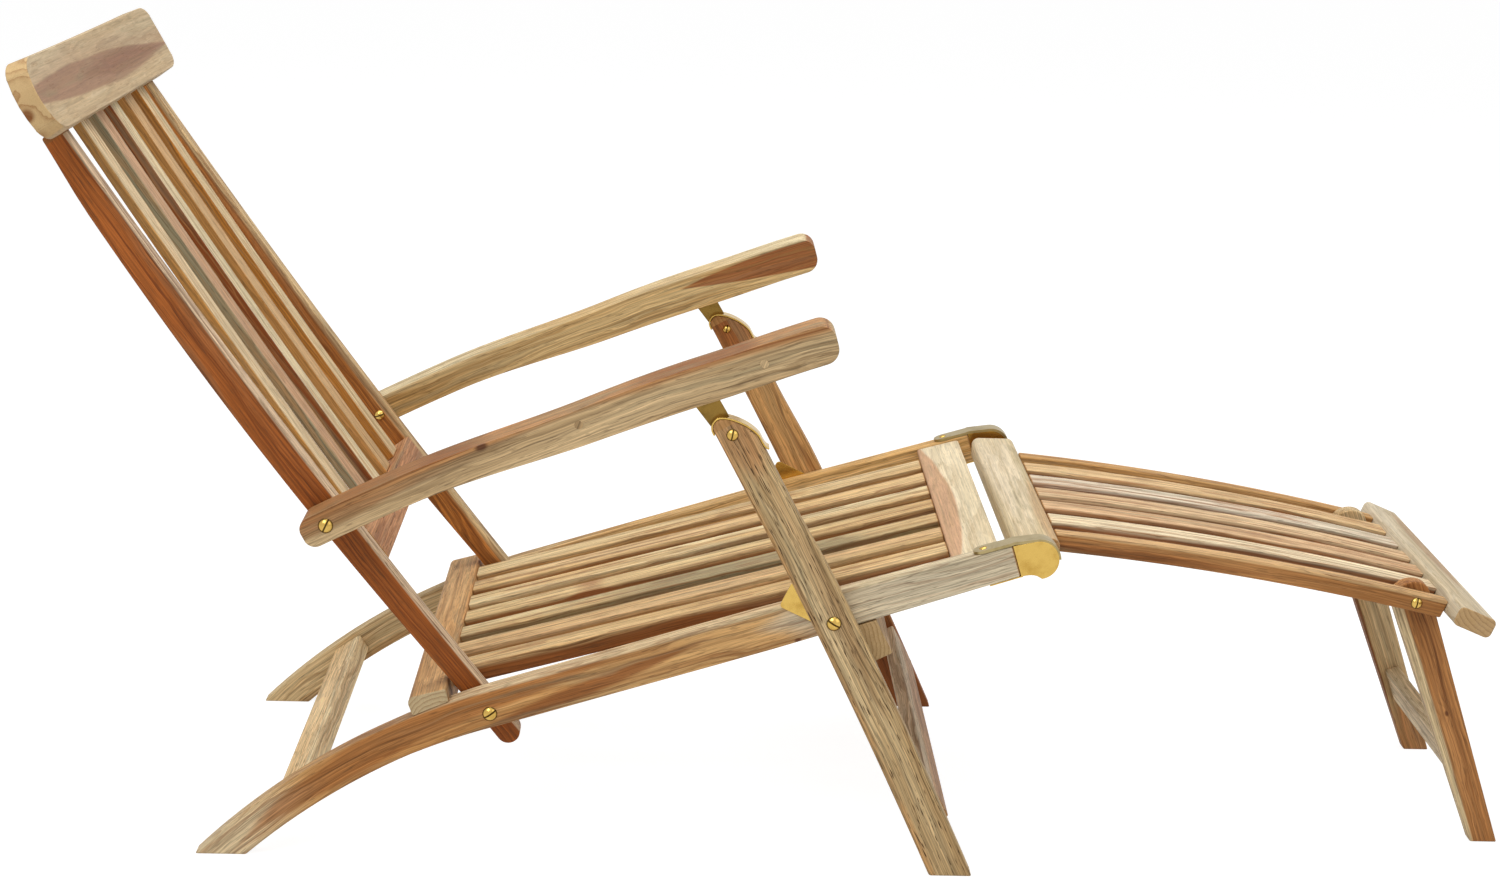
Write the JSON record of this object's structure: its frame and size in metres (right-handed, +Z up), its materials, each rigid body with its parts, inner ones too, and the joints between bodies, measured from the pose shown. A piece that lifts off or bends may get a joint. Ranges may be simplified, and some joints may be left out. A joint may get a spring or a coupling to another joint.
{
  "type": "steamer deck chair",
  "caption": "Folding slatted timber deck chair with a reclining back, curved armrests, brass fittings and a slatted leg rest on folding legs.",
  "frame": {"origin": "middle of the chair's outline on the floor, halfway between the two sides", "axes": "+X towards the footrest, +Y to the sitter's left, +Z up"},
  "size_m": [1.5124, 0.6, 0.8021],
  "materials": {
    "honey_teak": "sanded, unoiled, mid brown",
    "cream_teak": "sanded, unoiled, pale sapwood",
    "russet_teak": "sanded, unoiled, reddish heartwood",
    "brass": "polished"
  },
  "bodies": {
    "seat_frame": {"seat_rail_right": "honey_teak", "seat_rail_left": "honey_teak", "rear_stretcher": "honey_teak", "rear_seat_board": "cream_teak", "front_seat_board": "cream_teak", "seat_slat_1": "cream_teak", "seat_slat_2": "honey_teak", "seat_slat_3": "cream_teak", "seat_slat_4": "honey_teak", "seat_slat_5": "cream_teak", "seat_slat_6": "honey_teak", "seat_slat_7": "cream_teak", "rail_end_fitting_right": "brass", "rail_end_fitting_left": "brass", "pivot_plate_right": "brass", "pivot_plate_left": "brass", "leg_pivot_bolt_right": "brass", "leg_pivot_bolt_left": "brass", "footrest_pivot_pin_right": "brass", "footrest_pivot_pin_left": "brass"},
    "back_bolts": {"back_pivot_bolt_right": "brass", "back_pivot_bolt_left": "brass"},
    "backrest": {"back_post_right": "russet_teak", "back_post_left": "russet_teak", "headboard": "cream_teak", "lower_back_rail": "honey_teak", "back_slat_1": "cream_teak", "back_slat_2": "honey_teak", "back_slat_3": "cream_teak", "back_slat_4": "honey_teak", "back_slat_5": "cream_teak"},
    "arm_bolt_right": {"arm_pivot_bolt_right": "brass"},
    "arm_bolt_left": {"arm_pivot_bolt_left": "brass"},
    "armrest_right": {"armrest_right": "honey_teak", "arm_rack_right": "brass"},
    "armrest_left": {"armrest_left": "honey_teak", "arm_rack_left": "brass"},
    "front_legs": {"front_leg_right": "honey_teak", "front_leg_left": "honey_teak", "stop_board": "honey_teak", "leg_stretcher": "honey_teak", "hook_plate_right": "brass", "hook_plate_left": "brass", "leg_top_bolt_right": "brass", "leg_top_bolt_left": "brass"},
    "footrest": {"footrest_rail_right": "russet_teak", "footrest_rail_left": "russet_teak", "footrest_head_board": "cream_teak", "footrest_end_board": "cream_teak", "footrest_slat_1": "cream_teak", "footrest_slat_2": "honey_teak", "footrest_slat_3": "cream_teak", "footrest_slat_4": "honey_teak", "footrest_slat_5": "cream_teak", "footrest_leg_bolt_right": "brass", "footrest_leg_bolt_left": "brass"},
    "footrest_legs": {"footrest_leg_right": "russet_teak", "footrest_leg_left": "russet_teak", "footrest_leg_stretcher": "honey_teak"}
  },
  "joints": [
    {"name": "back_fold", "type": "hinge", "parent": "seat_frame", "child": "back_bolts", "pos_m": [-0.30299, 0, 0.156], "axis": [0, 1, 0], "range_deg": [0, 86]},
    {"name": "back_recline", "type": "hinge", "parent": "back_bolts", "child": "backrest", "pos_m": [-0.30299, 0, 0.156], "axis": [0, 1, 0], "range_deg": [0, 12]},
    {"name": "arm_fold_right", "type": "hinge", "parent": "backrest", "child": "arm_bolt_right", "pos_m": [-0.46211, -0.23525, 0.35562], "axis": [0, 1, 0], "range_deg": [-96.32, 0]},
    {"name": "arm_slide_right", "type": "hinge", "parent": "arm_bolt_right", "child": "armrest_right", "pos_m": [-0.46211, -0.23525, 0.35562], "axis": [0, 1, 0], "range_deg": [-10.2, 0]},
    {"name": "arm_fold_left", "type": "hinge", "parent": "backrest", "child": "arm_bolt_left", "pos_m": [-0.46211, 0.23525, 0.35562], "axis": [0, 1, 0], "range_deg": [-96.32, 0]},
    {"name": "arm_slide_left", "type": "hinge", "parent": "arm_bolt_left", "child": "armrest_left", "pos_m": [-0.46211, 0.23525, 0.35562], "axis": [0, 1, 0], "range_deg": [-10.2, 0]},
    {"name": "front_leg_fold", "type": "hinge", "parent": "seat_frame", "child": "front_legs", "pos_m": [0.03801, 0, 0.2655], "axis": [0, 1, 0], "range_deg": [0, 77.4]},
    {"name": "footrest_pivot", "type": "hinge", "parent": "seat_frame", "child": "footrest", "pos_m": [0.24201, 0, 0.328], "axis": [0, 1, 0], "range_deg": [-30, 40]},
    {"name": "footrest_leg_fold", "type": "hinge", "parent": "footrest", "child": "footrest_legs", "pos_m": [0.64276, 0, 0.26907], "axis": [0, 1, 0], "range_deg": [0, 78]}
  ],
  "couplings": [
    {"joint": "arm_fold_right", "follows": "back_fold", "ratio": -1.12},
    {"joint": "arm_slide_right", "follows": "back_recline", "ratio": -0.85},
    {"joint": "arm_fold_left", "follows": "back_fold", "ratio": -1.12},
    {"joint": "arm_slide_left", "follows": "back_recline", "ratio": -0.85},
    {"joint": "front_leg_fold", "follows": "back_fold", "ratio": 0.9}
  ]
}
